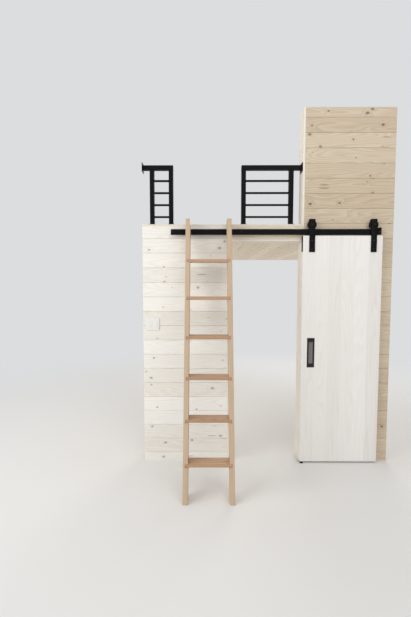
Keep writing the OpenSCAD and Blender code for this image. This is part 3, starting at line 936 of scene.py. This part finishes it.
BARS = 4
BAR_HALF = 0.008
FOOT = 0.005             # thickness of a foot plate
bm = bmesh.new()
for side in SIDES:
    rail_low, rail_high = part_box(f"{side}_guard_top_rail")
    bars_low, bars_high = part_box(f"{side}_guard_bars")
    tube = (rail_high.z - rail_low.z) / 2
    middle = (rail_low.y + rail_high.y) / 2
    first, last = bars_low.z + BAR_HALF, bars_high.z - BAR_HALF
    for k in range(BARS):
        level = first + (last - first) * k / (BARS - 1)
        for x in (bars_low.x, bars_high.x):
            joint_line(bm, (x, middle, level), 0, BAR_HALF)
    for post in ("wall_post", "gap_post"):
        post_low, post_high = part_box(f"{side}_guard_{post}")
        for level in (rail_low.z, post_low.z + FOOT):
            joint_line(bm, ((post_low.x + post_high.x) / 2, middle, level), 2, tube)
    flange_low, flange_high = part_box(f"{side}_guard_flange")
    x = flange_high.x if side == "left" else flange_low.x
    joint_line(bm, (x, middle, (rail_low.z + rail_high.z) / 2), 0, tube)
beads = apply_tree(baked("joint_lines", bm), weld, {**WELD, "Material": black_steel})
settle(one_piece("guard_weld_beads", [beads]), HOUSE, "black_steel")


# %% [markdown]
# ## Track, hangers and door
# The door hangs from two flat straps that are bent over grooved wheels. The wheels run on a
# flat bar that stands off the wall on spacers. The strap's bend is round in the real metal, so
# only its top edges get a wide bevel before all the edges get a narrow one.

# %% Track
for node, width in (("track_rail", 0.0008), ("track_spacers", 0.0008), ("track_stop", 0.001),
                    ("floor_guide", 0.0006)):
    eased(node, HOUSE, "black_steel", black_steel, width, 2, ending="coated")

# %% Straps with a round bend
BEND_OUT, BEND_IN = 0.0085, 0.0028
STRAP = 0.006            # thickness of a strap
for side in SIDES:
    node = f"hanger_strap_{side}"
    low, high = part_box(node)
    bm = clean_copy(node)
    for level, radius in ((high.z, BEND_OUT), (high.z - STRAP, BEND_IN)):
        def crosses(edge, level=level):
            run = edge.verts[0].co - edge.verts[1].co
            return abs(run.x) > 0.02 and all(abs(v.co.z - level) < 5e-4 for v in edge.verts)
        ease(bm, radius, 5, crosses)
    for face in bm.faces:
        face[bm.faces.layers.float["edge"]] = 0.0
    ease(bm, 0.0008, 2)
    settle(finish_mesh(node + "_bent", bm, black_steel), DOOR, "black_steel", node)

# %% Wheels, turned with a hub and a dished side: radius and level in millimetres
WHEEL = [(5.2, -9.0), (11.0, -9.0), (12.2, -7.6), (29.0, -7.6), (30.5, -9.0), (39.2, -9.0),
         (40.0, -8.2), (40.0, -5.2), (36.7, -4.0), (36.7, 4.0), (40.0, 5.2), (40.0, 8.2),
         (39.2, 9.0), (30.5, 9.0), (29.0, 7.6), (12.2, 7.6), (11.0, 9.0), (5.2, 9.0)]
RUBBED_RIM = 0.0396
for side in SIDES:
    node = f"wheel_{side}"
    low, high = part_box(node)
    middle = (low + high) / 2
    bm = bmesh.new()
    stack(bm, [outline(r / 1000, middle.y + y / 1000, steps=64, centre=(middle.x, middle.z))
               for r, y in WHEEL], closed=True)
    edge_mark = bm.faces.layers.float.new("edge")
    for face in bm.faces:
        spot = face.calc_center_median()
        reach = Vector((spot.x - middle.x, spot.z - middle.z)).length
        face[edge_mark] = float(abs(reach - RUBBED_RIM) < 0.0005)
    settle(finish_mesh(node + "_turned", bm, wheel_black), node, "wheel_black", node)

# %% Axle bolts: washer, hexagon head, shaft and nut
WASHER, HEXAGON, CHAMFER, SHAFT = 0.0088, 0.0084, 0.0072, 0.005
WASHER_DEPTH = 0.0012
HANGER_DEPTH = 0.036
low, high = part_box("hanger_axles")
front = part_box("hanger_strap_left")[0].y
back = front + HANGER_DEPTH
bm = bmesh.new()
for side in SIDES:
    wheel_low, wheel_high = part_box(f"wheel_{side}")
    hub = ((wheel_low.x + wheel_high.x) / 2, (wheel_low.z + wheel_high.z) / 2)
    for rings in (
            [(WASHER, front, 0), (WASHER, front - WASHER_DEPTH, 0)],
            [(HEXAGON, front - WASHER_DEPTH, 6), (HEXAGON, low.y + 0.001, 6), (CHAMFER, low.y, 0)],
            [(SHAFT, front, 0), (SHAFT, back, 0)],
            [(HEXAGON, back, 6), (HEXAGON, high.y - 0.001, 6), (CHAMFER, high.y, 0)]):
        stack(bm, [outline(r, y, corners, 24, hub) for r, y, corners in rings])
settle(finish_mesh("hanger_axles_turned", bm, bolt_black), DOOR, "bolt_steel", "hanger_axles")

# %% Door slab, glued up from upright staves
STAVES = 6
low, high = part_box("door_panel")
bm = clean_copy("door_panel")
for k in range(1, STAVES):
    x = low.x + (high.x - low.x) * k / STAVES
    bmesh.ops.bisect_plane(bm, geom=bm.verts[:] + bm.edges[:] + bm.faces[:],
                           plane_co=(x, 0, 0), plane_no=SIDEWAYS)
ease(bm, 0.003, 3)
slab = finish_mesh("door_panel_slab", bm, door_pine)
stave_wood = [grain_frame(UP, INTO) for _ in range(STAVES)]
stave_tone = [draw.random() for _ in range(STAVES)]
grains, tones = [], []
for face in slab.data.polygons:
    k = min(STAVES - 1, int((face.center.x - low.x) / (high.x - low.x) * STAVES))
    turn, shift = stave_wood[k]
    tones.append(stave_tone[k])
    for corner in face.vertices:
        grains.extend(turn @ slab.data.vertices[corner].co + shift)
mark(slab.data, "grain", grains, "CORNER")
mark(slab.data, "tone", tones, "FACE")
settle(slab, DOOR, "door_pine", "door_panel")
eased("door_edge_plate", DOOR, "black_steel", black_steel, 0.0006, 1, ending="coated")

# %% Door pull: a dark rim with a grey tray sunk into it
SCOOP, RIM_DEPTH = 0.008, 0.0012
low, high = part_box("door_pull")
bm = clean_copy("door_pull")
ease(bm, SCOOP, 6, lambda e: not e.is_convex and all(v.co.y > low.y + SCOOP for v in e.verts))
ease(bm, 0.0009, 3)
for face in bm.faces:
    if face.calc_center_median().y > low.y + RIM_DEPTH:
        face.material_index = 1
settle(finish_mesh("door_pull_tray", bm, pull_dark, pull_grey), DOOR, "pull_bronze", "door_pull")


# %% [markdown]
# ## Screws, bolts and plugs
# Heads hold the track, the straps, the plates and the guards, and wooden plugs cover the
# screws in the ladder. One tree sets them all: it takes the places as points, turns a head to
# look along each point's aim, spins it at random and scales it.

# %% Geometry Nodes: set heads
FULL_TURN = 6.283
heads, given, made = new_tree("set heads", {"Head": None, "Seed": 5, "Material": None})
shape = put("GeometryNodeObjectInfo", Object=given["Head"]).outputs["Geometry"]
aim = vectors("MULTIPLY", stored(heads, "aim"), (-1, -1, -1))
facing = take("FunctionNodeAlignRotationToVector", axis="Y", Vector=aim)
spin = take("FunctionNodeAxisAngleToRotation", Axis=INTO,
            Angle=times(lots("FLOAT", given["Seed"]), FULL_TURN))
facing = take("FunctionNodeRotateRotation", rotation_space="LOCAL", Rotation=facing,
              Rotate_By=spin)
points = store(given["Geometry"], "shift", random_shift(plus(given["Seed"], 3.0)))
set_heads = take("GeometryNodeInstanceOnPoints", Points=points, Instance=shape,
                 Rotation=facing, Scale=stored(heads, "size"))
finish_tree(made, grained(heads, real(set_heads)), given["Material"])


# %% Heads of radius 1: a domed one with a driver's hole, a flat one and a plug
def head_shape(name, levels, corners=6):
    """Rings of (radius, height, polygon or not); the height grows along -Y."""
    bm = bmesh.new()
    stack(bm, [outline(r, -h, corners if angular else 0, 12) for r, h, angular in levels])
    return bpy.data.objects.new(name, baked(name, bm))


DOMED = head_shape("domed_head", [(1, 0, 0), (1, 0.16, 0), (0.84, 0.36, 0), (0.58, 0.44, 0),
                                  (0.46, 0.44, 1), (0.44, 0.2, 1)])
FLAT = head_shape("flat_head", [(1, -0.05, 0), (1, 0.1, 0), (0.9, 0.17, 0), (0.55, 0.17, 0),
                                (0.42, 0.17, 1), (0.4, 0.02, 1)], corners=4)
PLUG = head_shape("wood_plug", [(1, -0.1, 0), (1, 0.03, 0), (0.93, 0.07, 0), (0.5, 0.07, 0)])


def set_in_place(name, body, slot, finish, head, places, seed=5):
    """Sets a head at each (place, aim, radius in metres)."""
    mesh = bpy.data.meshes.new(name)
    mesh.from_pydata([place for place, aim, radius in places], [], [])
    mark(mesh, "aim", [level for place, aim, radius in places for level in aim])
    mark(mesh, "size", [radius for place, aim, radius in places])
    result = apply_tree(mesh, heads, {"Head": head, "Seed": seed, "Material": finish})
    return settle(shade(new_piece(name, result), 35), body, slot)


# %% Bolts of the track and the straps, through the middle of the bar and of each strap
FRONT, LEFT, RIGHT, TOP = (0, -1, 0), (-1, 0, 0), (1, 0, 0), (0, 0, 1)
SPACERS = (0.277, 0.8797, 1.4825, 2.0852)
STRAP_LEVELS = (1.937, 2.009)
TRACK_BOLT, STRAP_BOLT = 0.008, 0.0075
rail_low, rail_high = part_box("track_rail")
stop_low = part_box("track_stop")[0]
rail_middle = (rail_low.z + rail_high.z) / 2
track_bolts = [((x, stop_low.y if x > stop_low.x else rail_low.y, rail_middle), FRONT,
                TRACK_BOLT) for x in SPACERS]
set_in_place("track_bolts", HOUSE, "bolt_steel", bolt_black, DOMED, track_bolts)
strap_bolts = []
for side in SIDES:
    low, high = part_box(f"hanger_strap_{side}")
    strap_bolts += [(((low.x + high.x) / 2, low.y, z), FRONT, STRAP_BOLT) for z in STRAP_LEVELS]
set_in_place("strap_bolts", DOOR, "bolt_steel", bolt_black, DOMED, strap_bolts, 8)

# %% Screws of the pull, the edge plate and the guards
PULL_END, PLATE_END = 0.014, 0.02        # from an end to its screw
FLANGE_SCREW = 0.027                     # from the middle, both ways
low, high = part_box("door_pull")
x = (low.x + high.x) / 2
small = [((x, low.y, z), FRONT, 0.004) for z in (low.z + PULL_END, high.z - PULL_END)]
low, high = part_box("door_edge_plate")
y = (low.y + high.y) / 2
small += [((low.x, y, z), LEFT, 0.004) for z in (low.z + PLATE_END, high.z - PLATE_END)]
set_in_place("door_screws", DOOR, "bolt_steel", bolt_black, FLAT, small, 11)
holding = []
for side in SIDES:
    for post in ("wall_post", "gap_post"):
        low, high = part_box(f"{side}_guard_{post}")
        holding += [((x, y, low.z + FOOT), TOP, 0.0036) for x in (low.x + FOOT, high.x - FOOT)
                    for y in (low.y + FOOT, high.y - FOOT)]
low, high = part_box("right_guard_flange")
middle = (low + high) / 2
holding += [((low.x, middle.y + dy, middle.z + dz), LEFT, 0.0062)
            for dy in (-FLANGE_SCREW, FLANGE_SCREW) for dz in (-FLANGE_SCREW, FLANGE_SCREW)]
set_in_place("guard_screws", HOUSE, "bolt_steel", bolt_black, FLAT, holding, 17)

# %% Plugs over the ladder's screws, two at each end of a tread
PLUG_SPREAD, PLUG_RADIUS = 0.022, 0.0052
stiles = ((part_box("ladder_stile_left")[0].x, LEFT), (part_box("ladder_stile_right")[1].x, RIGHT))
plugs = []
for node in treads:
    low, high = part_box(node)
    y, z = (low.y + high.y) / 2, (low.z + high.z) / 2
    for x, aim in stiles:
        plugs += [((x, y + dy, z), aim, PLUG_RADIUS) for dy in (-PLUG_SPREAD, PLUG_SPREAD)]
set_in_place("ladder_plugs", HOUSE, "tread_fir", tread_fir, PLUG, plugs, 23)


# %% [markdown]
# ## Socket plate
# A white cover for two gangs: a double socket at the left and a rocker at the right. The slots
# are really cut, because a painted slot would not go dark from the side. Their cut faces take a
# dark finish: painted shade on the walls, and the contacts at the bottom.

# %% Cover
low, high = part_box("socket_plate")
centre, face_level = (low + high) / 2, low.y
bm = clean_copy("socket_plate")
ease(bm, 0.0022, 3)
settle(finish_mesh("socket_plate_cover", bm, white_plastic), HOUSE, "socket_plastic",
       "socket_plate")


# %% Double socket and rocker: half widths and heights of the inserts and the rocker
GANG = 0.023             # from the cover's middle to each gang's
INSERT, ROCKER = (0.0165, 0.0335), (0.0142, 0.031)
SOCKET_MIDDLE, SLOT_MIDDLE, SLOT_HALF, SLOT_LIFT = 0.0175, 0.0063, 0.0013, 0.003
EARTH_HOLE, EARTH_DROP = 0.0024, 0.0085
SCREW_MIDDLE = 0.0485
CUT_OUT, CUT_IN = face_level - 0.003, face_level + 0.0035


def insert_block(bm, x, half, proud, sunk):
    """A block in the cover around x, standing proud of its face and sunk into it."""
    return block(bm, (x - half[0], face_level - proud, centre.z - half[1]),
                 (x + half[0], face_level + sunk, centre.z + half[1]))


left_x, right_x = centre.x - GANG, centre.x + GANG
bm = bmesh.new()
insert_block(bm, left_x, INSERT, 0.0012, 0.004)
ease(bm, 0.0007, 2)
sockets = finish_mesh("socket_insert", bm, white_plastic)
bm = bmesh.new()
for up in (-1, 1):
    z = centre.z + up * SOCKET_MIDDLE
    for x, tall in ((left_x - SLOT_MIDDLE, 0.0042), (left_x + SLOT_MIDDLE, 0.0033)):
        block(bm, (x - SLOT_HALF, CUT_OUT, z + SLOT_LIFT - tall),
              (x + SLOT_HALF, CUT_IN, z + SLOT_LIFT + tall))
    stack(bm, [outline(EARTH_HOLE, y, 0, 16, (left_x, z - EARTH_DROP)) for y in (CUT_OUT, CUT_IN)])
# The cut's faces take this dark finish: painted shade on the slot walls, and the contacts at their
# bottom.
slots = finish_mesh("slots", bm, slot_shade_and_contacts)
modifier = sockets.modifiers.new("cut", "BOOLEAN")
modifier.operation, modifier.solver, modifier.object = "DIFFERENCE", "EXACT", slots
modifier.material_mode = "TRANSFER"
shade(plain_mesh(sockets))
bpy.data.objects.remove(slots)
settle(sockets, HOUSE, "socket_plastic")
bm = bmesh.new()
insert_block(bm, right_x, INSERT, 0.0008, 0.002)
ease(bm, 0.0006, 2)
rocker = set(insert_block(bm, right_x, ROCKER, 0.0026, 0.001))
for vertex in rocker:
    if vertex.co.y < face_level - 0.002 and vertex.co.z > centre.z:
        vertex.co.y = face_level - 0.0011        # the pressed half
ease(bm, 0.0006, 2, lambda e: e.verts[0] in rocker and e.verts[1] in rocker)
settle(finish_mesh("rocker_insert", bm, white_plastic), HOUSE, "socket_plastic")
cover_screws = [((x, face_level, centre.z + dz), FRONT, 0.003) for x in (left_x, right_x)
                for dz in (-SCREW_MIDDLE, SCREW_MIDDLE)]
set_in_place("cover_screws", HOUSE, "socket_plastic", white_plastic, FLAT, cover_screws, 29)
